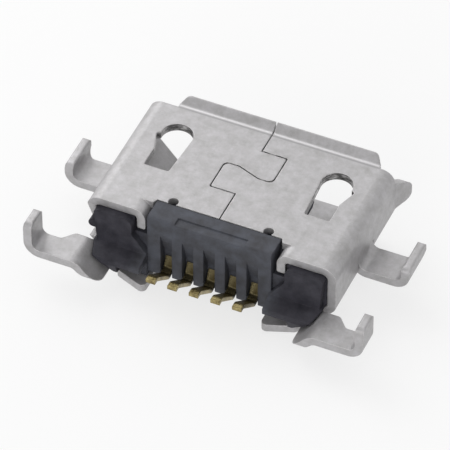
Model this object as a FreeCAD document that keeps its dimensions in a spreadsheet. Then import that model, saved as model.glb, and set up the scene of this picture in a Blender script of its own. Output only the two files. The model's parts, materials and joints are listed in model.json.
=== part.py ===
# Micro USB receptacle for sunk mounting: a folded shell, a moulded housing and five contacts.
# Millimetres. X runs across the socket, Y towards its mouth and Z up. Every sketch counts Y from
# the shell's rear edge and Z from the underside of its floor; the finished pieces are then moved
# back by half the shell's length, so the origin is the middle of the underside.

import FreeCAD, Part
import math
import os
import re

import Sketcher
from FreeCAD import Placement, Rotation, Vector

SIZES = {
    # Shell: the D-shaped section of the folded sheet
    "shell_width": 7.5,
    "shell_height": 2.5,
    "shell_length": 4.22,
    "sheet": 0.25,
    "wall_height": 1.5,
    "floor_width": 5.8,
    "corner_radius": 0.42,
    "fold_radius": 0.3,
    "edge_round": 0.06,
    # Cut-out at the rear of the top, with a relief hole near each corner
    "cutout_width": 3.76,
    "cutout_depth": 0.61,
    "cutout_corner": 0.14,
    "relief_radius": 0.15,
    "relief_spacing": 2.87,
    "relief_place": 0.7,
    # Hooks: the ends of the rear bands, folded down beside the cut-out
    "hook_span": 3.96,
    "hook_drop": 0.68,
    "hook_length": 0.46,
    "hook_bend": 0.1,
    # Notch in the rear edge of the left wall
    "notch_top": 0.3,
    "notch_low": 1.56,
    "notch_depth": 0.42,
    "notch_fall": 1.0,
    "notch_round": 0.12,
    # Cut-back of the floor under the contact tails, and the tabs beside it
    "floor_notch_depth": 0.5,
    "tab_inner": 1.75,
    "tab_width": 1.0,
    "tab_reach": 0.68,
    "tab_side": 0.3,
    "tab_round": 0.15,
    # Latch windows in the top, each a slot that widens into an arch
    "window_spacing": 4.86,
    "window_width": 0.76,
    "window_start": 1.73,
    "window_corner": 0.06,
    "window_arch_centre": 3.13,
    "window_arch_radius": 0.47,
    "window_flare": 0.2,
    "window_flare_start": 2.45,
    "window_flare_end": 3.03,
    "window_flare_round": 0.2,
    # Interlocking seam of the top
    "seam_gap": 0.04,
    "seam_half_width": 0.77,
    "seam_front": 3.52,
    "seam_rear": 1.68,
    "seam_waist": 0.24,
    "seam_shoulder": 0.34,
    "seam_round": 0.16,
    "seam_corner": 0.05,
    # Legs: flat seats at board height with upturned tips
    "seat_depth": 1.41,
    "leg_bend": 0.22,
    "leg_open": 0.06,
    "front_leg_start": 1.66,
    "front_leg_width": 0.97,
    "front_leg_reach": 1.49,
    "front_tip_rise": 0.49,
    "front_tip_lead": 0.28,
    "rear_leg_reach": 1.36,
    "rear_leg_back": 1.3,
    "rear_leg_front": 0.58,
    "rear_tip_rise": 0.89,
    "rear_root_low": 0.36,
    "rear_root_round": 0.45,
    "hump_gap": 0.24,
    "hump_half_width": 4.0,
    "hump_run": 0.3,
    "hump_round": 0.15,
    "tip_round": 0.2,
    "tip_front_round": 0.12,
    "opening_inner": 2.35,
    # Flared lips around the mouth
    "lip_bend": 0.15,
    "lip_lead": 0.05,
    "lip_corner": 0.18,
    "lip_round": 0.2,
    "top_lip_left": 2.88,
    "top_lip_right": 3.26,
    "top_lip_lead": 0.11,
    "top_lip_angle": 40,
    "top_lip_reach": 0.32,
    "right_lip_width": 0.96,
    "right_lip_depth": 0.95,
    "right_lip_angle": 32,
    "right_lip_reach": 0.56,
    "right_lip_corner": 0.18,
    "right_lip_round": 0.3,
    "left_lip_width": 0.7,
    "left_lip_depth": 1.08,
    "left_lip_angle": 20,
    "left_lip_reach": 0.34,
    "floor_lip_width": 4.6,
    "floor_lip_angle": 25,
    "floor_lip_reach": 0.34,
    # Housing: block, ears and tongue, moulded as one
    "fit_gap": 0.02,
    "housing_depth": 1.3,
    "block_width": 3.74,
    "block_overhang": 0.12,
    "block_round": 0.12,
    "block_foot": 0.3,
    "ledge_width": 2.1,
    "ledge_depth": 0.04,
    "ledge_start": 0.19,
    "ear_inner": 2.3,
    "ear_overhang": 0.22,
    "ear_round": 0.24,
    "ear_half_width": 3.48,
    "ear_taper": 0.12,
    "slot_depth": 0.82,
    "slot_length": 0.52,
    "nub_depth": 0.89,
    "nub_height": 0.26,
    "nub_length": 0.3,
    "nub_reach": 0.17,
    "nub_round": 0.12,
    "shelf_inner": 1.86,
    "ridge_reach": 0.72,
    "ridge_depth": 1.54,
    "ridge_height": 0.19,
    "ridge_round": 0.04,
    "keel_depth": 2.05,
    "keel_reach": 0.6,
    "keel_inner": 2.58,
    "keel_width": 0.12,
    "groove_width": 0.34,
    "groove_top": 0.55,
    "groove_depth": 0.28,
    "groove_slope": 0.84,
    "groove_round": 0.3,
    "tongue_width": 3.3,
    "tongue_thickness": 0.6,
    "tongue_depth": 0.75,
    "tongue_end": 3.4,
    "tongue_bevel": 0.12,
    # Contacts: gilt strips, five on one pitch
    "contact_pitch": 0.65,
    "contact_width": 0.28,
    "contact_sheet": 0.12,
    "contact_bend": 0.06,
    "contact_end": 3.2,
    "contact_proud": 0.05,
    "drop_place": 0.3,
    "dip_place": 0.02,
    "dip_depth": 1.9,
    "trough_place": 0.2,
    "trough_depth": 1.95,
    "foot_place": 0.98,
    "foot_end": 1.18,
    "foot_depth": 1.3,
}
CONTACT_COUNT = 5

# Formulas that several pieces share
HALF_WIDTH = "shell_width / 2"
FOLD_RUN = "(shell_width - floor_width) / 2"
FOLD_RISE = "(shell_height - wall_height)"
FOLD_LENGTH = f"hypot({FOLD_RUN}; {FOLD_RISE})"
# The sloping wall's thickness measured level
SLOPE_STEP = f"sheet * {FOLD_LENGTH} / {FOLD_RISE}"
SEAT_TOP = "shell_height - seat_depth"
# Foot and height of the tools that cut through the top
UNDER_TOP = "shell_height - 2 * sheet"
THROUGH_TOP = "3 * sheet"
# Corner and rounding at the ends of each wall's lip
WALL_LIP_ENDS = {
    "right": ("right_lip_corner", "right_lip_round"),
    "left": ("lip_corner", "lip_round"),
}

# Each plane of a sketch: how it is turned, the axis it faces and that axis's unit vector
PLANES = {
    "plan": (Rotation(), "z", Vector(0, 0, 1)),
    "section": (Rotation(Vector(1, 0, 0), 90), "y", Vector(0, 1, 0)),
    "side": (Rotation(0.5, 0.5, 0.5, 0.5), "x", Vector(1, 0, 0)),
}

doc = FreeCAD.newDocument("micro_usb_socket")


def make_sheet():
    """Put every driving size in a spreadsheet cell with its own alias."""
    sheet = doc.addObject("Spreadsheet::Sheet", "sizes")
    for row, (alias, size) in enumerate(SIZES.items(), 1):
        sheet.set(f"A{row}", alias)
        sheet.set(f"B{row}", str(size))
        sheet.setAlias(f"B{row}", alias)
    return sheet


def on_sheet(formula):
    """Point each alias in a formula at its cell."""
    return re.sub(r"[a-z_]+", lambda word: f"sizes.{word[0]}" if word[0] in SIZES else word[0], formula)


def bind(thing, name, formula):
    thing.setExpression(name, on_sheet(formula))


def value(formula):
    """The number that a formula gives now."""
    bind(gauge, "reading", formula)
    gauge.recompute()
    return gauge.reading


def slope_outer(level):
    """X of the sloping wall's outer face at a height."""
    return f"floor_width / 2 + {FOLD_RUN} / {FOLD_RISE} * ({level})"


def slope_inner(level):
    """X of the sloping wall's inner face at a height."""
    return f"{slope_outer(level)} - {SLOPE_STEP}"


def pin_point(sketch, geometry, vertex, across, up):
    """Hold a point of a sketch at two formulas measured from the sketch's origin."""
    for kind, formula in (("DistanceX", across), ("DistanceY", up)):
        rule = sketch.addConstraint(Sketcher.Constraint(kind, -1, 1, geometry, vertex, value(formula)))
        bind(sketch, f"Constraints[{rule}]", formula)


def corner_arc(before, corner, after, radius):
    """Start, middle and end of the arc that rounds a corner."""
    to_before = (before - corner).normalize()
    to_after = (after - corner).normalize()
    half = to_before.getAngle(to_after) / 2
    inward = (to_before + to_after).normalize()
    reach = radius / math.tan(half)
    middle = corner + inward * (radius / math.sin(half) - radius)
    return corner + to_before * reach, middle, corner + to_after * reach


def draw_outline(sketch, corners):
    """Draw a closed outline. Each corner is (across, up, radius), all formulas; radius 0 is sharp."""
    spots = [Vector(value(across), value(up), 0) for across, up, _ in corners]
    radii = [value(radius) for _, _, radius in corners]
    count = len(corners)
    arcs = []
    for i in range(count):
        arc = (spots[i], None, spots[i])
        if radii[i] > 0:
            arc = corner_arc(spots[i - 1], spots[i], spots[(i + 1) % count], radii[i])
        arcs.append(arc)
    lines = []
    for i in range(count):
        run = Part.LineSegment(arcs[i][2], arcs[(i + 1) % count][0])
        lines.append(sketch.addGeometry(run))
    for i in range(count):
        join_corner(sketch, corners[i], spots[i], arcs[i], lines[i - 1], lines[i])


def join_corner(sketch, corner, spot, arc, line_in, line_out):
    """Join two lines of an outline at a sharp or a rounded corner."""
    across, up, radius = corner
    if arc[1] is None:
        sketch.addConstraint(Sketcher.Constraint("Coincident", line_in, 2, line_out, 1))
        pin_point(sketch, line_out, 1, across, up)
        return
    start, middle, end = arc
    round_edge = sketch.addGeometry(Part.Arc(start, middle, end))
    turns_left = (middle - start).cross(end - middle).z > 0
    first, last = (1, 2) if turns_left else (2, 1)
    sketch.addConstraint(Sketcher.Constraint("Tangent", line_in, 2, round_edge, first))
    sketch.addConstraint(Sketcher.Constraint("Tangent", round_edge, last, line_out, 1))
    size = sketch.addConstraint(Sketcher.Constraint("Radius", round_edge, value(radius)))
    bind(sketch, f"Constraints[{size}]", radius)
    mark = sketch.addGeometry(Part.Point(spot), True)
    pin_point(sketch, mark, 1, across, up)
    sketch.addConstraint(Sketcher.Constraint("PointOnObject", mark, 1, line_in))
    sketch.addConstraint(Sketcher.Constraint("PointOnObject", mark, 1, line_out))


def prism(name, plane, start, length, corners):
    """An outline on a plane, drawn out along the axis that the plane faces."""
    turn, axis, direction = PLANES[plane]
    sketch = doc.addObject("Sketcher::SketchObject", f"{name}_outline")
    sketch.Placement = Placement(Vector(), turn)
    bind(sketch, f"Placement.Base.{axis}", start)
    draw_outline(sketch, corners)
    solid = doc.addObject("Part::Extrusion", name)
    solid.Base = sketch
    solid.DirMode = "Custom"
    solid.Dir = direction
    solid.Solid = True
    bind(solid, "LengthFwd", length)
    return solid


def cylinder(name, centre, radius, height):
    """An upright cylinder from the formulas of its foot, radius and height."""
    solid = doc.addObject("Part::Cylinder", name)
    for axis, formula in zip("xyz", centre):
        bind(solid, f"Placement.Base.{axis}", formula)
    bind(solid, "Radius", radius)
    bind(solid, "Height", height)
    return solid


def box(name, low, high):
    """A box between two opposite corners, given as formulas."""
    solid = doc.addObject("Part::Box", name)
    for axis, side, near, far in zip("xyz", ("Length", "Width", "Height"), low, high):
        bind(solid, f"Placement.Base.{axis}", near)
        bind(solid, side, f"({far}) - ({near})")
    return solid


def fuse(name, *solids):
    joined = doc.addObject("Part::MultiFuse", name)
    joined.Shapes = list(solids)
    return joined


def cut(name, base, tool):
    left = doc.addObject("Part::Cut", name)
    left.Base = base
    left.Tool = tool
    return left


def common(name, one, other):
    shared = doc.addObject("Part::MultiCommon", name)
    shared.Shapes = [one, other]
    return shared


def both_sides(name, right):
    """A right-hand solid together with its mirror image on the left."""
    left = doc.addObject("Part::Mirroring", f"{name}_left")
    left.Source = right
    left.Normal = Vector(1, 0, 0)
    return fuse(name, right, left)


def section_corners(inset, radius_less):
    """Corners of the D-shaped section, set in from the shell's outer face by a formula."""
    slope_shift = f"({inset}) * {FOLD_LENGTH} / {FOLD_RISE}"
    side = f"{HALF_WIDTH} - ({inset})"
    knee = f"{FOLD_RISE} + (({slope_shift}) - ({inset})) * {FOLD_RISE} / ({FOLD_RUN})"
    foot = f"{slope_outer(inset)} - ({slope_shift})"
    top = f"shell_height - ({inset})"
    top_radius = f"corner_radius - {radius_less}"
    fold_radius = f"fold_radius - {radius_less}"
    right = [(foot, inset, fold_radius), (side, knee, fold_radius), (side, top, top_radius)]
    left = [(f"-({x})", z, radius) for x, z, radius in reversed(right)]
    return right + left


def make_tube():
    """The folded sheet before anything is cut from it."""
    outer = prism("tube_outer", "section", "0", "shell_length", section_corners("0", "0"))
    inner = prism("tube_inner", "section", "0", "shell_length", section_corners("sheet", "sheet"))
    return cut("tube", outer, inner)


def make_cutout():
    """Room at the rear of the top for the housing's block, its relief holes and the hooks."""
    wide = "hook_span / 2 + sheet + hook_bend"
    narrow = "cutout_width / 2"
    right = [
        (wide, "-sheet", "0"),
        (wide, "hook_length", "0"),
        (f"{narrow} + cutout_corner / 2", "hook_length", "0"),
        (narrow, "cutout_depth", "0"),
    ]
    left = [(f"-({x})", y, radius) for x, y, radius in reversed(right)]
    room = prism("cutout_room", "plan", UNDER_TOP, THROUGH_TOP, right + left)
    relief_at = ("relief_spacing / 2", "relief_place", UNDER_TOP)
    relief = cylinder("relief_right", relief_at, "relief_radius", THROUGH_TOP)
    return fuse("cutout", room, both_sides("reliefs", relief))


def make_windows():
    """Latch windows: a straight slot that widens towards its arched front end."""
    middle = "window_spacing / 2"
    inner = f"{middle} - window_width / 2"
    outer = f"{middle} + window_width / 2"
    corners = [
        (inner, "window_start", "window_corner"),
        (outer, "window_start", "window_corner"),
        (outer, "window_flare_start", "window_flare_round"),
        (f"{outer} + window_flare", "window_flare_end", "window_corner"),
        (f"{middle} + window_arch_radius - window_corner", "window_arch_centre", "0"),
        (f"{middle} - window_arch_radius", "window_arch_centre", "0"),
    ]
    slot = prism("window_slot", "plan", UNDER_TOP, THROUGH_TOP, corners)
    arch_at = (middle, "window_arch_centre", UNDER_TOP)
    arch = cylinder("window_arch", arch_at, "window_arch_radius", THROUGH_TOP)
    return both_sides("windows", fuse("window_right", slot, arch))


def make_wall_notch():
    """The rear edge of the left wall slopes forward, past the housing's nub."""
    top = "shell_height - notch_top"
    low = "shell_height - notch_low"
    corners = [
        ("-notch_depth", f"{top} + notch_fall", "0"),
        ("-notch_depth", low, "0"),
        ("notch_depth", low, "notch_round"),
        ("notch_depth", f"{top} - notch_fall", "0"),
    ]
    return prism("wall_notch", "side", f"-({HALF_WIDTH}) - sheet", "3 * sheet", corners)


def make_openings():
    """Where the front legs were cut out of the sloping wall and the floor."""
    low = ("opening_inner", "front_leg_start - leg_open", "-sheet")
    front = "front_leg_start + front_leg_width + leg_open"
    high = (f"{HALF_WIDTH} + sheet", front, f"{SEAT_TOP} + leg_bend")
    return both_sides("leg_openings", box("leg_opening", low, high))


def make_floor_notch():
    """The floor is cut back under the contact tails."""
    low = ("-tab_inner", "-sheet", "-sheet")
    high = ("tab_inner", "floor_notch_depth", "2 * sheet")
    return box("floor_notch", low, high)


def make_seam():
    """The interlocking seam of the top, as a narrow slot with square, rounded and waisted turns."""
    middle = "(seam_front + seam_rear) / 2"
    path = [
        ("0", "shell_length + 3 * top_lip_reach", 1, 0, "0"),
        ("0", "seam_front", 1, 1, "0"),
        ("seam_half_width", "seam_front", 1, 1, "seam_corner"),
        ("seam_half_width", f"{middle} - seam_waist / 2", 1, -1, "seam_round"),
        ("seam_shoulder", f"{middle} - seam_waist / 2", 0, -1, "seam_round"),
        ("-seam_shoulder", f"{middle} + seam_waist / 2", 0, -1, "seam_round"),
        ("-seam_half_width", f"{middle} + seam_waist / 2", 1, -1, "seam_round"),
        ("-seam_half_width", "seam_rear", 1, 1, "seam_corner"),
        ("0", "seam_rear", 1, 1, "0"),
        ("0", "cutout_depth - 2 * seam_gap", 1, 0, "0"),
    ]
    near, far = [], []
    for across, along, side, ahead, radius in path:
        step, rise = f"{side} * seam_gap / 2", f"{ahead} * seam_gap / 2"
        near.append((f"{across} + {step}", f"{along} + {rise}", radius))
        far.append((f"{across} - {step}", f"{along} - {rise}", radius))
    return prism("seam", "plan", UNDER_TOP, "2 * sheet + top_lip_reach", near + far[::-1])


def make_hook():
    """End of the right rear band, folded down into the housing."""
    inner = "hook_span / 2"
    outer = "hook_span / 2 + sheet"
    root = f"{outer} + 2 * hook_bend"
    corners = [
        (root, "shell_height", "0"),
        (inner, "shell_height", "sheet + hook_bend"),
        (inner, "shell_height - hook_drop", "edge_round"),
        (outer, "shell_height - hook_drop", "edge_round"),
        (outer, "shell_height - sheet", "hook_bend"),
        (root, "shell_height - sheet", "0"),
    ]
    return prism("hook", "section", "0", "hook_length", corners)


def tip_corners(reach, rise):
    """Corners of a leg from the seat's underside round its upturned tip to the seat's top."""
    out = f"{HALF_WIDTH} + {reach}"
    top = f"{SEAT_TOP} + {rise}"
    return [
        (out, f"{SEAT_TOP} - sheet", "leg_bend + sheet"),
        (out, top, "edge_round"),
        (f"{out} - sheet", top, "edge_round"),
        (f"{out} - sheet", SEAT_TOP, "leg_bend"),
    ]


def make_front_leg():
    """Leg folded out of the right wall, level with the board, with a wider upturned tip."""
    root = f"{SEAT_TOP} + leg_bend + sheet"
    corners = [
        (f"{HALF_WIDTH} - sheet", root, "0"),
        (f"{HALF_WIDTH} - sheet", f"{SEAT_TOP} - sheet", "leg_bend + sheet"),
        *tip_corners("front_leg_reach", "front_tip_rise"),
        (HALF_WIDTH, SEAT_TOP, "leg_bend"),
        (HALF_WIDTH, root, "0"),
    ]
    length = "front_leg_width + front_tip_lead"
    strip = prism("front_leg_strip", "section", "front_leg_start", length, corners)
    seat_end = "front_leg_start + front_leg_width"
    tip_end = f"{seat_end} + front_tip_lead"
    top = f"{SEAT_TOP} + front_tip_rise"
    shape = [
        ("front_leg_start", "0", "0"),
        (seat_end, "0", "0"),
        (seat_end, SEAT_TOP, "0"),
        (tip_end, f"{SEAT_TOP} + leg_bend", "0"),
        (tip_end, top, "tip_front_round"),
        ("front_leg_start", top, "tip_round"),
    ]
    tip = prism("front_tip_shape", "side", f"{HALF_WIDTH} + leg_bend", "shell_width", shape)
    seat_low = (f"{HALF_WIDTH} - 2 * sheet", "front_leg_start", "0")
    seat_high = (f"{HALF_WIDTH} + 2 * leg_bend", seat_end, "shell_height")
    seat = box("front_seat_shape", seat_low, seat_high)
    return common("front_leg", strip, fuse("front_leg_shape", tip, seat))


def make_rear_leg():
    """Leg carried back from the right sloping wall, folded level and upturned like the front one."""
    seat_under = f"{SEAT_TOP} - sheet"
    corners = [
        (slope_outer("rear_root_low"), "rear_root_low", "0"),
        (slope_outer(seat_under), seat_under, "leg_bend"),
        *tip_corners("rear_leg_reach", "rear_tip_rise"),
        (slope_inner(SEAT_TOP), SEAT_TOP, "leg_bend + sheet"),
        (slope_inner("rear_root_low"), "rear_root_low", "0"),
    ]
    strip = prism("rear_leg_strip", "section", "-rear_leg_back", "rear_leg_back + sheet", corners)
    root = f"{slope_inner('rear_root_low')} - sheet"
    far = f"{HALF_WIDTH} + rear_leg_reach + sheet"
    plan = [
        (f"{slope_inner(SEAT_TOP)} - leg_bend", "sheet", "0"),
        (f"{HALF_WIDTH} - sheet", "-hump_gap", "hump_round"),
        ("hump_half_width", "-hump_gap", "hump_round"),
        ("hump_half_width + hump_run", "-rear_leg_front", "hump_round"),
        (far, "-rear_leg_front", "0"),
        (far, "-rear_leg_back", "0"),
        (root, "-rear_leg_back", "0"),
        (root, "sheet", "0"),
    ]
    flat = prism("rear_leg_plan", "plan", "0", "shell_height", plan)
    top = f"{SEAT_TOP} + rear_tip_rise"
    low_tip = f"{SEAT_TOP} + leg_bend"
    rounding = [
        ("-rear_leg_back", "rear_root_low", "rear_root_round"),
        ("sheet", "rear_root_low", "0"),
        ("sheet", low_tip, "0"),
        ("-rear_leg_front", low_tip, "0"),
        ("-rear_leg_front", top, "tip_front_round"),
        ("-rear_leg_back", top, "tip_round"),
    ]
    limit = prism("rear_leg_side", "side", "0", "shell_width", rounding)
    return common("rear_leg", common("rear_leg_flat", strip, flat), limit)


def make_tab():
    """Tab that the floor sends back under the housing's right ear, longer on its inner side."""
    end = "tab_inner + tab_width"
    corners = [
        ("tab_inner", "sheet", "0"),
        ("tab_inner", "-tab_reach", "tab_round"),
        (end, "-tab_side", "tab_round"),
        (end, "sheet", "0"),
    ]
    return prism("tab", "plan", "0", "sheet", corners)


def make_lip(name, left, right, lead, angle, reach, corner="lip_corner", rounding="lip_round"):
    """A flared lip at the mouth, drawn on a level sheet whose outer face is at height 0."""
    bend = f"shell_length + {lead}"
    tip_y = f"{bend} + {reach} * cos({angle})"
    tip_z = f"{reach} * sin({angle})"
    profile = [
        ("shell_length - sheet", "0", "0"),
        (bend, "0", "lip_bend"),
        (tip_y, tip_z, "0"),
        (f"{tip_y} + sheet * sin({angle})", f"{tip_z} - sheet * cos({angle})", "0"),
        (f"{bend} + sheet * tan({angle} / 2)", "-sheet", "lip_bend + sheet"),
        ("shell_length - sheet", "-sheet", "0"),
    ]
    strip = prism(f"{name}_strip", "side", f"-({left})", f"{left} + {right}", profile)
    shape = [
        (f"-({left})", "shell_length - sheet", "0"),
        (right, "shell_length - sheet", "0"),
        (right, bend, "0"),
        (f"{right} - {corner}", tip_y, rounding),
        (f"-({left}) + {corner}", tip_y, rounding),
        (f"-({left})", bend, "0"),
    ]
    room = prism(f"{name}_shape", "plan", f"-2 * sheet - {reach}", f"4 * sheet + 2 * {reach}", shape)
    return common(name, strip, room)


def make_wall_lip(side, turn, away):
    """A lip of one wall; turn brings the sheet upright and away is the wall's side, 1 or -1."""
    half = f"{side}_lip_width / 2"
    shape = (f"{side}_lip_angle", f"{side}_lip_reach")
    lip = make_lip(f"{side}_lip", half, half, "lip_lead", *shape, *WALL_LIP_ENDS[side])
    lip.Placement = Placement(Vector(), Rotation(Vector(0, 1, 0), turn))
    bind(lip, "Placement.Base.x", f"{away} * {HALF_WIDTH}")
    bind(lip, "Placement.Base.z", f"shell_height - {side}_lip_depth")
    return lip


def make_lips():
    """The lips of the top, the floor and both walls."""
    sides = ("top_lip_left", "top_lip_right")
    top = make_lip("top_lip", *sides, "top_lip_lead", "top_lip_angle", "top_lip_reach")
    bind(top, "Placement.Base.z", "shell_height")
    half = "floor_lip_width / 2"
    floor = make_lip("floor_lip", half, half, "lip_lead", "floor_lip_angle", "floor_lip_reach")
    floor.Placement = Placement(Vector(), Rotation(Vector(0, 1, 0), 180))
    return [top, floor, make_wall_lip("right", 90, 1), make_wall_lip("left", -90, -1)]


def make_shell():
    """The whole folded shell: tube, cuts, folded pieces and seam."""
    openings = [make_cutout(), make_windows(), make_openings(), make_floor_notch(), make_wall_notch()]
    wall = cut("tube_cut", make_tube(), fuse("shell_cuts", *openings))
    folded = fuse("right_folds", make_front_leg(), make_rear_leg(), make_hook(), make_tab())
    blank = fuse("shell_blank", wall, both_sides("folds", folded), *make_lips())
    shell = cut("shell", blank, make_seam())
    shell.Refine = True
    return shell


def make_block():
    """Middle of the housing, level with the shell's top and standing a little behind it."""
    top = "shell_height - fit_gap"
    profile = [
        ("cutout_depth - fit_gap", "block_foot", "0"),
        ("cutout_depth - fit_gap", top, "0"),
        ("-block_overhang", top, "block_round"),
        ("-block_overhang", "block_foot", "block_round"),
    ]
    block = prism("block_body", "side", "-block_width / 2", "block_width", profile)
    low = ("-ledge_width / 2", "-block_overhang - fit_gap", f"{top} - ledge_depth")
    step = box("block_ledge", low, ("ledge_width / 2", "ledge_start", "shell_height + ledge_depth"))
    return cut("block", block, step)


def make_ear_cuts():
    """What is taken off behind the shell's rear edge to leave an ear on each side of the block."""
    core_top = "shell_height - sheet - fit_gap"
    wide = "ear_inner + 2 * ear_round"
    right = [
        ("shelf_inner", "-sheet", "0"),
        ("shelf_inner", SEAT_TOP, "0"),
        ("ear_inner", "shell_height - slot_depth", "0"),
        ("ear_inner", core_top, "ear_round"),
        (wide, core_top, "0"),
        (wide, "shell_height", "0"),
    ]
    left = [(f"-({x})", z, radius) for x, z, radius in reversed(right)]
    rear, depth = "-ear_overhang - fit_gap", "ear_overhang + fit_gap"
    recess = prism("ear_recess", "section", rear, depth, right + left)
    outside = [
        ("ear_half_width", "shell_height", "0"),
        (HALF_WIDTH, "shell_height", "0"),
        (HALF_WIDTH, "sheet", "0"),
        ("ear_half_width - ear_taper", "sheet", "0"),
        ("ear_half_width - ear_taper", SEAT_TOP, "0"),
    ]
    return [recess, both_sides("ear_sides", prism("ear_side", "section", rear, depth, outside))]


def make_core():
    """Body of the housing inside the shell, with an ear behind it on each side."""
    inset = "(sheet + fit_gap)"
    depth = "housing_depth + ear_overhang"
    body = prism("core_body", "section", "-ear_overhang", depth, section_corners(inset, "sheet"))
    slot_low = ("block_width / 2", "-ear_overhang - fit_gap", "shell_height - slot_depth")
    slot = box("hook_slot", slot_low, ("ear_inner", "slot_length", "shell_height"))
    return cut("core", body, fuse("core_cuts", *make_ear_cuts(), both_sides("hook_slots", slot)))


def make_ear():
    """Lower part of the right ear: a shelf that ends in a ridge, over a keel beside the leg."""
    shelf = SEAT_TOP
    ridge = "shell_height - ridge_depth"
    keel = "shell_height - keel_depth"
    section = [
        ("shelf_inner", shelf, "0"),
        ("shelf_inner", f"{ridge} - ridge_height", "0"),
        ("keel_inner", f"{ridge} - ridge_height", "0"),
        ("keel_inner", keel, "0"),
        ("keel_inner + keel_width", keel, "0"),
        (f"{slope_inner(shelf)} - fit_gap * 2", shelf, "0"),
    ]
    body = prism("ear_section", "section", "-ridge_reach - fit_gap", "ridge_reach + block_overhang", section)
    profile = [
        ("block_overhang", f"{shelf} + fit_gap", "0"),
        ("-ear_overhang", shelf, "0"),
        ("-ridge_reach", ridge, "ridge_round"),
        ("-ridge_reach", f"{ridge} - ridge_height", "0"),
        ("-keel_reach", f"{keel} - fit_gap", "0"),
        ("block_overhang", f"{keel} - fit_gap", "0"),
    ]
    shape = prism("ear_profile", "side", "shelf_inner - sheet", "shell_width / 2", profile)
    return common("ear_lower", body, shape)


def make_nub():
    """Rounded nub on the left side, in the notch of the shell's wall."""
    side = f"sheet + fit_gap - {HALF_WIDTH}"
    top = "shell_height - nub_depth + nub_height / 2"
    corners = [
        (f"{side} + sheet", top, "0"),
        (f"{side} - nub_reach", top, "nub_round"),
        (f"{side} - nub_reach", f"{top} - nub_height", "nub_round"),
        (f"{side} + sheet", f"{top} - nub_height", "0"),
    ]
    return prism("ear_nub", "section", "-nub_length / 2", "nub_length", corners)


def make_tongue():
    """Tongue in the middle of the mouth, bevelled at its tip, that carries the contacts."""
    top = "shell_height - tongue_depth"
    under = f"{top} - tongue_thickness"
    profile = [
        ("housing_depth - sheet", under, "0"),
        ("tongue_end - tongue_bevel", under, "0"),
        ("tongue_end", f"{under} + tongue_bevel", "0"),
        ("tongue_end", f"{top} - tongue_bevel", "0"),
        ("tongue_end - tongue_bevel", top, "0"),
        ("housing_depth - sheet", top, "0"),
    ]
    return prism("tongue", "side", "-tongue_width / 2", "tongue_width", profile)


def contact_place(index):
    """X of the middle of one contact."""
    return f"contact_pitch * {index - (CONTACT_COUNT - 1) / 2}"


def make_grooves():
    """Grooves down the block's rear face, one over each contact, deeper towards the bottom."""
    rear = "-block_overhang - fit_gap"
    top = "shell_height - groove_top"
    profile = [
        (rear, top, "0"),
        (rear, "0", "0"),
        ("groove_depth - block_overhang", "0", "0"),
        ("groove_depth - block_overhang", f"{top} - groove_slope", "groove_round"),
    ]
    grooves = []
    for index in range(CONTACT_COUNT):
        start = f"{contact_place(index)} - groove_width / 2"
        grooves.append(prism(f"groove_{index + 1}", "side", start, "groove_width", profile))
    return fuse("grooves", *grooves)


def strip_corners(path, thickness, bend):
    """Outline of a bent strip: its upper face along a path, then its lower face back again."""
    points = [Vector(value(across), value(up), 0) for across, up in path]
    upper, lower = [], []
    for i, (across, up) in enumerate(path):
        before = (points[i] - points[i - 1]).normalize() if i > 0 else None
        after = (points[i + 1] - points[i]).normalize() if i + 1 < len(path) else None
        before = before or after
        after = after or before
        side = Vector(-before.y, before.x, 0) + Vector(-after.y, after.x, 0)
        side = side * (2 / side.dot(side))
        turn = before.cross(after).z
        inner, outer = bend, f"{bend} + {thickness}"
        upper_radius = "0" if abs(turn) < 0.01 else (inner if turn > 0 else outer)
        lower_radius = "0" if abs(turn) < 0.01 else (outer if turn > 0 else inner)
        upper.append((across, up, upper_radius))
        under = (f"{across} - {thickness} * {side.x:.5f}", f"{up} - {thickness} * {side.y:.5f}")
        lower.append((*under, lower_radius))
    return upper + lower[::-1]


def contact_path():
    """Upper face of a contact seen from the side, from its foot to its tip in the tongue."""
    beam = "shell_height - tongue_depth - tongue_thickness - contact_proud + contact_sheet"
    return [
        ("-foot_end", "shell_height - foot_depth"),
        ("-foot_place", "shell_height - foot_depth"),
        ("-trough_place", "shell_height - trough_depth"),
        ("dip_place", "shell_height - dip_depth"),
        ("drop_place", beam),
        ("contact_end", beam),
    ]


def make_contact(index):
    """One contact: a flat strip bent through the housing, with its foot at board height."""
    corners = strip_corners(contact_path(), "contact_sheet", "contact_bend")
    start = f"{contact_place(index)} - contact_width / 2"
    return prism(f"contact_{index + 1}", "side", start, "contact_width", corners)


def make_housing(contacts):
    """The moulding, with the contacts' own room left in it."""
    ears = both_sides("ears", make_ear())
    solid = fuse("housing_solid", make_core(), make_block(), ears, make_nub(), make_tongue())
    grooved = cut("housing_grooved", solid, make_grooves())
    room = fuse("contact_room", *contacts)
    bind(room, "Placement.Base.y", "shell_length / 2")
    return cut("housing", grooved, room)


def finish(piece):
    """Bring a finished piece to the part's own origin."""
    bind(piece, "Placement.Base.y", "-shell_length / 2")
    piece.Label = piece.Name


def check_document():
    """Stop if any object failed, or if a piece is not one sound solid."""
    failed = [thing.Name for thing in doc.Objects if {"Invalid", "Error"} & set(thing.State)]
    if failed:
        raise RuntimeError(f"failed objects: {failed}")
    for piece in pieces:
        shape = piece.Shape
        if shape.isNull() or not shape.isValid() or len(shape.Solids) != 1:
            raise RuntimeError(f"{piece.Label} is not one sound solid")


make_sheet()
gauge = doc.addObject("App::FeaturePython", "gauge")
gauge.addProperty("App::PropertyFloat", "reading")
doc.recompute()

shell = make_shell()
contacts = [make_contact(index) for index in range(CONTACT_COUNT)]
housing = make_housing(contacts)
pieces = [shell, housing, *contacts]
doc.removeObject(gauge.Name)
doc.recompute()
for piece in pieces:
    finish(piece)
doc.recompute()
check_document()

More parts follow.
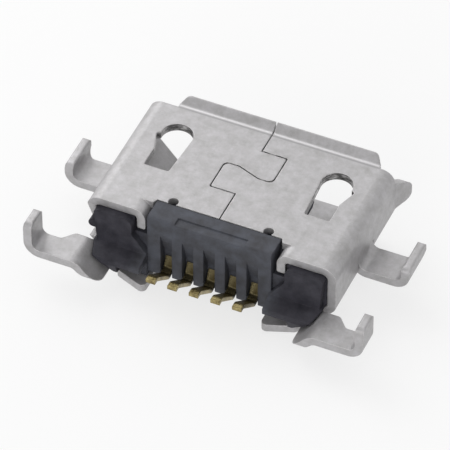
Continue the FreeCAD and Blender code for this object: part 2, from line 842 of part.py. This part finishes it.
os.makedirs("parts", exist_ok=True)
for piece in pieces:
    piece.Shape.exportStep(f"parts/{piece.Label}.step")
    print(piece.Label, round(piece.Shape.Volume, 4), piece.Shape.BoundBox)
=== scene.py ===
"""Looks of the micro USB socket: tin-plated shell, moulded housing and gilt contacts."""

import json
import math

import bpy
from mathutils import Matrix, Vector

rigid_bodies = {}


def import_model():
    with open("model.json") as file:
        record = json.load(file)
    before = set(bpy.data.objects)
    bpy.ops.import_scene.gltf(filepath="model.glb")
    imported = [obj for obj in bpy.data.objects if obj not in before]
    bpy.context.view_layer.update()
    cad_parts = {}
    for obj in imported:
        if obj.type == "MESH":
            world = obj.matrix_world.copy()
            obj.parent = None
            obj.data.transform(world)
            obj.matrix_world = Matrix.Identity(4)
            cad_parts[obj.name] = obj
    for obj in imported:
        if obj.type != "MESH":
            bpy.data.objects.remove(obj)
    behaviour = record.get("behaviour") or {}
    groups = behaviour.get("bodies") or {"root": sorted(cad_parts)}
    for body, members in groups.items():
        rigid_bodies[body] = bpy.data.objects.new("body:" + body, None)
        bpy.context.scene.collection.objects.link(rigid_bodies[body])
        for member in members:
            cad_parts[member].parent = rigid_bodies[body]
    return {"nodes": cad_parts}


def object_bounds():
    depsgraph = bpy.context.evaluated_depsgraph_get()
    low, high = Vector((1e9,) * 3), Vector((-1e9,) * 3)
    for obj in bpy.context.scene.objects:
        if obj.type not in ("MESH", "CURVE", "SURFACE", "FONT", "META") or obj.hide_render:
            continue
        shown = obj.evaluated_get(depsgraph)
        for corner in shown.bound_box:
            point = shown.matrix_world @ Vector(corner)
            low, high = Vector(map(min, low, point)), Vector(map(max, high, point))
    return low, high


MM = 0.001
UP = Vector((0, 0, 1))

# Noise stays mostly between these values
NOISE_LOW = 0.3
NOISE_HIGH = 0.7

# Each band below is its middle, how far from there it is full and how far away it ends; those
# of places are in millimetres. Each cloud of colours is a row of noise values with their colour.

# Tin plate of the shell: its clouds, the painted highlight along its edges and the stretch of the
# rolling marks
TIN_CLOUDS = (NOISE_LOW, (0.345, 0.338, 0.335)), (NOISE_HIGH, (0.515, 0.505, 0.52))
TIN_EDGE_HIGHLIGHT = (0.72, 0.71, 0.71)
ROLLED_STRETCH = (26, 2.5, 26)

# Torn metal: on upright faces, at the windows' arches, through the thickness of the top
TORN_CLOUDS = (0.4, (0.12, 0.12, 0.12)), (0.49, (0.31, 0.3, 0.3)), (0.6, (0.74, 0.73, 0.73))
TORN_STRETCH = (4, 4, 13)
TORN_NORMAL_Z = (0, 0.3, 0.4)
TORN_Y = (0.95, 0.65, 0.85)
TORN_Z = (2.4, 0.12, 0.14)

# Top lip: its place, and the painted shade line and the painted highlight line along its bend
TOP_LIP_Z = (2.55, 0.1, 0.12)
TOP_LIP_X = (0.19, 3.0, 3.1)
LIP_PAINTED_SHADE_Y = (2.1, 0.01, 0.04)
LIP_PAINTED_SHADE = (0.33, 0.325, 0.33)
LIP_PAINTED_HIGHLIGHT_Y = (2.18, 0.01, 0.05)
LIP_PAINTED_HIGHLIGHT = (0.61, 0.6, 0.61)

# Moulding of the housing: dark on the ears, and a lighter, bluer painted sheen on the block between
# them
EAR_CLOUDS = (NOISE_LOW, (0.019, 0.0185, 0.025)), (NOISE_HIGH, (0.052, 0.050, 0.062))
BLOCK_SHEEN_CLOUDS = (NOISE_LOW, (0.050, 0.050, 0.056)), (NOISE_HIGH, (0.088, 0.094, 0.114))
BLOCK_X = (0, 1.8, 2.3)

# Gilt of the contacts: painted shade darkens their upright stretch in the grooves against their feet
GILT_CLOUDS = (0.34, (0.13, 0.098, 0.04)), (0.66, (0.46, 0.38, 0.18))
GILT_GROOVE_SHADE = (0.15, 0.125, 0.065)
GILT_GROOVE_SHADE_Y = (-2.0, 0.3, 0.45)

# A rounded edge counts as flat and as fully under the painted highlight at these cosines of its turn
EDGE_FLAT = 0.99
EDGE_FULL_HIGHLIGHT = 0.8

# Camera: where it stands round the socket, what it looks at and where that lands in the picture
VIEW_AZIMUTH = math.radians(23.86)
VIEW_ELEVATION = math.radians(45.05)
VIEW_DISTANCE = 140 * MM
VIEW_TARGET = Vector((0, -0.61, 1.5)) * MM
VIEW_SCALE = 35.99 / MM
VIEW_OFFSET = (7.7, -1.6)
PICTURE_SIZE = 450
SENSOR_WIDTH = 36

# Light: the sky runs from dim to bright towards its bright side, and each lamp has the side it
# stands on, its distance, its size and its share of full white on a card lying on the floor
SKY_SIDE = Vector((-0.45, 0.8, 0.4))
SKY_DIM = 0.25
SKY_BRIGHT = 1.0
LAMPS = {
    "key": (Vector((-0.6, 0.35, 0.8)), 90 * MM, 60 * MM, 0.2),
    "fill": (Vector((0.1, -0.8, 0.26)), 90 * MM, 60 * MM, 0.11),
    "rim": (Vector((-0.75, 0.5, 0.4)), 40 * MM, 28 * MM, 0.035),
}

# Floor: its side in metres, the white it shows, the grey it throws back on the socket, and the
# share of its white that shadow doesn't reach
FLOOR_SIZE = 3
FLOOR_WHITE = 0.96
FLOOR_BOUNCE = 0.7
FLOOR_GLOW = 0.75


def link(tree, source, target):
    tree.links.new(source, target)


def add_node(tree, kind, **settings):
    """A shader node with its settings, and its plain socket values under their names."""
    made = tree.nodes.new(kind)
    for name, setting in settings.items():
        if hasattr(made, name):
            setattr(made, name, setting)
        else:
            made.inputs[name.replace("_", " ")].default_value = setting
    return made


def new_material(name):
    """An empty material with its output node."""
    material = bpy.data.materials.new(name)
    material.use_nodes = True
    material.node_tree.nodes.clear()
    output = material.node_tree.nodes.new("ShaderNodeOutputMaterial")
    return material, material.node_tree, output


def new_surface(name, **settings):
    """A material of one principled shader with its plain values."""
    material, tree, output = new_material(name)
    shader = add_node(tree, "ShaderNodeBsdfPrincipled", **settings)
    link(tree, shader.outputs["BSDF"], output.inputs["Surface"])
    return material, tree, shader


def surface_point(tree, stretch=(1, 1, 1)):
    """Place on the object in millimetres, stretched along the axes."""
    coordinates = add_node(tree, "ShaderNodeTexCoord")
    mapping = add_node(tree, "ShaderNodeMapping")
    mapping.inputs["Scale"].default_value = [share / MM for share in stretch]
    link(tree, coordinates.outputs["Object"], mapping.inputs["Vector"])
    return mapping.outputs["Vector"]


def axes(tree, vector):
    """The X, Y and Z outputs of a vector."""
    parts = add_node(tree, "ShaderNodeSeparateXYZ")
    link(tree, vector, parts.inputs["Vector"])
    return parts.outputs["X"], parts.outputs["Y"], parts.outputs["Z"]


def noise(tree, place, scale, detail, roughness=0.5):
    """Cloudy noise over a place."""
    made = add_node(tree, "ShaderNodeTexNoise", Scale=scale, Detail=detail, Roughness=roughness)
    link(tree, place, made.inputs["Vector"])
    return made.outputs["Fac"]


def ramp(tree, source, *stops):
    """Colours at places along a value; each stop is (place, colour)."""
    made = add_node(tree, "ShaderNodeValToRGB")
    band = made.color_ramp
    while len(band.elements) < len(stops):
        band.elements.new(1)
    for element, (place, colour) in zip(band.elements, stops):
        element.position = place
        element.color = (*colour, 1)
    link(tree, source, made.inputs["Fac"])
    return made.outputs["Color"]


def carried(tree, source, from_low, from_high, low, high):
    """A value carried from one range to another, and held at its ends."""
    made = add_node(
        tree, "ShaderNodeMapRange", From_Min=from_low, From_Max=from_high, To_Min=low, To_Max=high
    )
    link(tree, source, made.inputs["Value"])
    return made.outputs["Result"]


def near(tree, source, middle, full, none):
    """1 while a value is within full of the middle, falling to 0 where it is none away."""
    offset = add_node(tree, "ShaderNodeMath", operation="SUBTRACT")
    link(tree, source, offset.inputs[0])
    offset.inputs[1].default_value = middle
    away = add_node(tree, "ShaderNodeMath", operation="ABSOLUTE")
    link(tree, offset.outputs["Value"], away.inputs[0])
    return carried(tree, away.outputs["Value"], full, none, 1, 0)


def both(tree, one, other):
    """The product of two shares."""
    made = add_node(tree, "ShaderNodeMath", operation="MULTIPLY")
    link(tree, one, made.inputs[0])
    link(tree, other, made.inputs[1])
    return made.outputs["Value"]


def mix(tree, share, low, high):
    """One colour passing into another; each is a socket or a plain colour."""
    made = add_node(tree, "ShaderNodeMix", data_type="RGBA")
    link(tree, share, made.inputs["Factor"])
    for socket, colour in zip((made.inputs["A"], made.inputs["B"]), (low, high)):
        if isinstance(colour, tuple):
            socket.default_value = (*colour, 1)
        else:
            link(tree, colour, socket)
    return made.outputs["Result"]


def soft_edges(tree, radius):
    """Normal that rounds every edge over a radius in millimetres."""
    made = add_node(tree, "ShaderNodeBevel", Radius=radius * MM, samples=4)
    return made.outputs["Normal"]


def bump(tree, source, height, normal):
    """Bump of a real height in millimetres, laid over an earlier normal."""
    made = add_node(tree, "ShaderNodeBump", Strength=1, Distance=height * MM)
    link(tree, source, made.inputs["Height"])
    link(tree, normal, made.inputs["Normal"])
    return made.outputs["Normal"]


def edge_highlight(tree, radius):
    """1 on the edges of a solid and 0 on its faces, over a radius in millimetres."""
    turned = add_node(tree, "ShaderNodeVectorMath", operation="DOT_PRODUCT")
    link(tree, soft_edges(tree, radius), turned.inputs[0])
    link(tree, add_node(tree, "ShaderNodeNewGeometry").outputs["Normal"], turned.inputs[1])
    return carried(tree, turned.outputs["Value"], EDGE_FLAT, EDGE_FULL_HIGHLIGHT, 0, 1)


def torn_edge(tree, y, z):
    """1 on the torn metal of the windows' arches, otherwise 0."""
    normal_z = axes(tree, add_node(tree, "ShaderNodeNewGeometry").outputs["Normal"])[2]
    in_top = near(tree, z, *TORN_Z)
    at_arch = near(tree, y, *TORN_Y)
    return both(tree, near(tree, normal_z, *TORN_NORMAL_Z), both(tree, in_top, at_arch))


def tin_colour(tree, place):
    """Cloudy tin with a painted highlight on its edges, a painted shade line and a painted highlight
    line along the top lip's bend, and torn metal.
    """
    x, y, z = axes(tree, place)
    colour = ramp(tree, noise(tree, place, scale=2.4, detail=8, roughness=0.75), *TIN_CLOUDS)
    # Painted highlight: every edge of the sheet is lightened
    colour = mix(tree, edge_highlight(tree, radius=0.035), colour, TIN_EDGE_HIGHLIGHT)
    at_lip = both(tree, near(tree, z, *TOP_LIP_Z), near(tree, x, *TOP_LIP_X))
    # Painted shade line, then painted highlight line, along the top lip's bend
    colour = mix(tree, both(tree, at_lip, near(tree, y, *LIP_PAINTED_SHADE_Y)), colour, LIP_PAINTED_SHADE)
    colour = mix(tree, both(tree, at_lip, near(tree, y, *LIP_PAINTED_HIGHLIGHT_Y)), colour, LIP_PAINTED_HIGHLIGHT)
    burr = noise(tree, surface_point(tree, TORN_STRETCH), scale=1, detail=4, roughness=0.7)
    return mix(tree, torn_edge(tree, y, z), colour, ramp(tree, burr, *TORN_CLOUDS))


def make_tin_plate():
    """Matt tin plate on the folded sheet: cloudy, rolled along the strip and with a painted highlight
    at its edges.
    """
    material, tree, shader = new_surface("tin_plate", Metallic=0.45)
    place = surface_point(tree)
    link(tree, tin_colour(tree, place), shader.inputs["Base Color"])
    speck = noise(tree, place, scale=14, detail=3)
    roughness = carried(tree, speck, NOISE_LOW, NOISE_HIGH, 0.34, 0.5)
    link(tree, roughness, shader.inputs["Roughness"])
    rolled = noise(tree, surface_point(tree, ROLLED_STRETCH), scale=1, detail=2)
    normal = bump(tree, rolled, height=0.0016, normal=soft_edges(tree, radius=0.05))
    normal = bump(tree, speck, height=0.003, normal=normal)
    link(tree, normal, shader.inputs["Normal"])
    return material


def make_black_plastic():
    """Dark glass-filled moulding, faintly mottled, with a dull sheen, and a painted sheen on the
    block between the ears.
    """
    material, tree, shader = new_surface("black_moulding", Specular_IOR_Level=0.22)
    place = surface_point(tree)
    cloud = noise(tree, place, scale=2.2, detail=5, roughness=0.6)
    # Painted sheen: lighter and bluer on the block between the ears
    in_block_sheen = near(tree, axes(tree, place)[0], *BLOCK_X)
    colour = mix(tree, in_block_sheen, ramp(tree, cloud, *EAR_CLOUDS), ramp(tree, cloud, *BLOCK_SHEEN_CLOUDS))
    link(tree, colour, shader.inputs["Base Color"])
    grain = noise(tree, place, scale=22, detail=3)
    roughness = carried(tree, grain, NOISE_LOW, NOISE_HIGH, 0.5, 0.66)
    link(tree, roughness, shader.inputs["Roughness"])
    normal = bump(tree, grain, height=0.004, normal=soft_edges(tree, radius=0.05))
    link(tree, normal, shader.inputs["Normal"])
    return material


def make_gilt():
    """Thin gold over nickel, patchy where it is worn, with painted shade on its upright stretch in
    the grooves.
    """
    material, tree, shader = new_surface("gilt", Metallic=0.9)
    place = surface_point(tree)
    cloud = noise(tree, place, scale=4.5, detail=5, roughness=0.65)
    # Painted shade on the contacts' upright stretch in the grooves
    in_groove_shade = near(tree, axes(tree, place)[1], *GILT_GROOVE_SHADE_Y)
    colour = mix(tree, in_groove_shade, ramp(tree, cloud, *GILT_CLOUDS), GILT_GROOVE_SHADE)
    link(tree, colour, shader.inputs["Base Color"])
    grain = noise(tree, place, scale=18, detail=3)
    roughness = carried(tree, grain, NOISE_LOW, NOISE_HIGH, 0.24, 0.42)
    link(tree, roughness, shader.inputs["Roughness"])
    normal = bump(tree, grain, height=0.002, normal=soft_edges(tree, radius=0.03))
    link(tree, normal, shader.inputs["Normal"])
    return material


def seen_directly(tree):
    """1 where the camera, a reflection or a view through glass meets the surface, otherwise 0."""
    path = add_node(tree, "ShaderNodeLightPath")
    seen = path.outputs["Is Camera Ray"]
    for name in ("Is Glossy Ray", "Is Transmission Ray"):
        higher = add_node(tree, "ShaderNodeMath", operation="MAXIMUM")
        link(tree, seen, higher.inputs[0])
        link(tree, path.outputs[name], higher.inputs[1])
        seen = higher.outputs["Value"]
    return seen


def make_floor_white():
    """White that keeps a pale shadow and throws less light back than it shows."""
    material, tree, output = new_material("floor_white")
    white = (FLOOR_WHITE,) * 3 + (1,)
    lit = add_node(tree, "ShaderNodeBsdfDiffuse", Color=white)
    glow = add_node(tree, "ShaderNodeEmission", Color=white)
    shown = add_node(tree, "ShaderNodeMixShader", Fac=FLOOR_GLOW)
    link(tree, lit.outputs["BSDF"], shown.inputs[1])
    link(tree, glow.outputs["Emission"], shown.inputs[2])
    bounced = add_node(tree, "ShaderNodeBsdfDiffuse", Color=(FLOOR_BOUNCE,) * 3 + (1,))
    blend = add_node(tree, "ShaderNodeMixShader")
    link(tree, seen_directly(tree), blend.inputs["Fac"])
    link(tree, bounced.outputs["BSDF"], blend.inputs[1])
    link(tree, shown.outputs["Shader"], blend.inputs[2])
    link(tree, blend.outputs["Shader"], output.inputs["Surface"])
    return material


def make_floor(level):
    """Level floor under the socket."""
    half = FLOOR_SIZE / 2
    mesh = bpy.data.meshes.new("floor")
    corners = [(-half, -half, level), (half, -half, level), (half, half, level), (-half, half, level)]
    mesh.from_pydata(corners, [], [(0, 1, 2, 3)])
    mesh.materials.append(make_floor_white())
    floor = bpy.data.objects.new("floor", mesh)
    bpy.context.scene.collection.objects.link(floor)


def make_sky():
    """Soft sky, brightest beyond the mouth on the left and dim behind the camera."""
    world = bpy.data.worlds.new("sky")
    bpy.context.scene.world = world
    world.use_nodes = True
    tree = world.node_tree
    tree.nodes.clear()
    output = add_node(tree, "ShaderNodeOutputWorld")
    light = add_node(tree, "ShaderNodeBackground", Color=(1, 1, 1, 1))
    direction = add_node(tree, "ShaderNodeTexCoord")
    towards = add_node(tree, "ShaderNodeVectorMath", operation="DOT_PRODUCT")
    link(tree, direction.outputs["Generated"], towards.inputs[0])
    towards.inputs[1].default_value = SKY_SIDE.normalized()
    strength = carried(tree, towards.outputs["Value"], -1, 1, SKY_DIM, SKY_BRIGHT)
    link(tree, strength, light.inputs["Strength"])
    link(tree, light.outputs["Background"], output.inputs["Surface"])


def make_lamp(name, side, distance, size, share):
    """Square lamp that gives a card on the floor its share of full white."""
    side = side.normalized()
    lamp = bpy.data.lights.new(name, "AREA")
    lamp.size = size
    # A white card shows full white under pi watts on each square metre, and a square lamp
    # throws its power over pi times its distance squared
    lamp.energy = share * math.pi ** 2 * distance ** 2 / side.dot(UP)
    holder = bpy.data.objects.new(name, lamp)
    holder.location = VIEW_TARGET + side * distance
    holder.rotation_euler = side.to_track_quat("Z", "Y").to_euler()
    holder.visible_camera = False
    bpy.context.scene.collection.objects.link(holder)


def make_camera():
    """Camera at the photograph's angle, with the socket as large and as far aside as there."""
    level = math.cos(VIEW_ELEVATION)
    back = Vector((
        math.sin(VIEW_AZIMUTH) * level,
        -math.cos(VIEW_AZIMUTH) * level,
        math.sin(VIEW_ELEVATION),
    ))
    camera = bpy.data.cameras.new("camera")
    camera.sensor_width = SENSOR_WIDTH
    camera.lens = VIEW_SCALE * VIEW_DISTANCE * SENSOR_WIDTH / PICTURE_SIZE
    camera.shift_x = -VIEW_OFFSET[0] / PICTURE_SIZE
    camera.shift_y = VIEW_OFFSET[1] / PICTURE_SIZE
    camera.clip_start = MM
    camera.clip_end = 2 * FLOOR_SIZE
    holder = bpy.data.objects.new("camera", camera)
    holder.location = VIEW_TARGET + back * VIEW_DISTANCE
    holder.rotation_euler = back.to_track_quat("Z", "Y").to_euler()
    bpy.context.scene.collection.objects.link(holder)
    bpy.context.scene.camera = holder


def paint(node, material):
    """Give a solid its material in place of the plain one."""
    node.data.materials.clear()
    node.data.materials.append(material)


for leftover in list(bpy.data.objects):
    bpy.data.objects.remove(leftover)
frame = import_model()
cad_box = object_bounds()
bpy.context.scene.view_settings.view_transform = "Standard"

nodes = frame["nodes"]
gilt = make_gilt()
paint(nodes["shell"], make_tin_plate())
paint(nodes["housing"], make_black_plastic())
for name, node in nodes.items():
    if name.startswith("contact_"):
        paint(node, gilt)

make_camera()
make_sky()
make_floor(cad_box[0].z)
for name, placing in LAMPS.items():
    make_lamp(name, *placing)
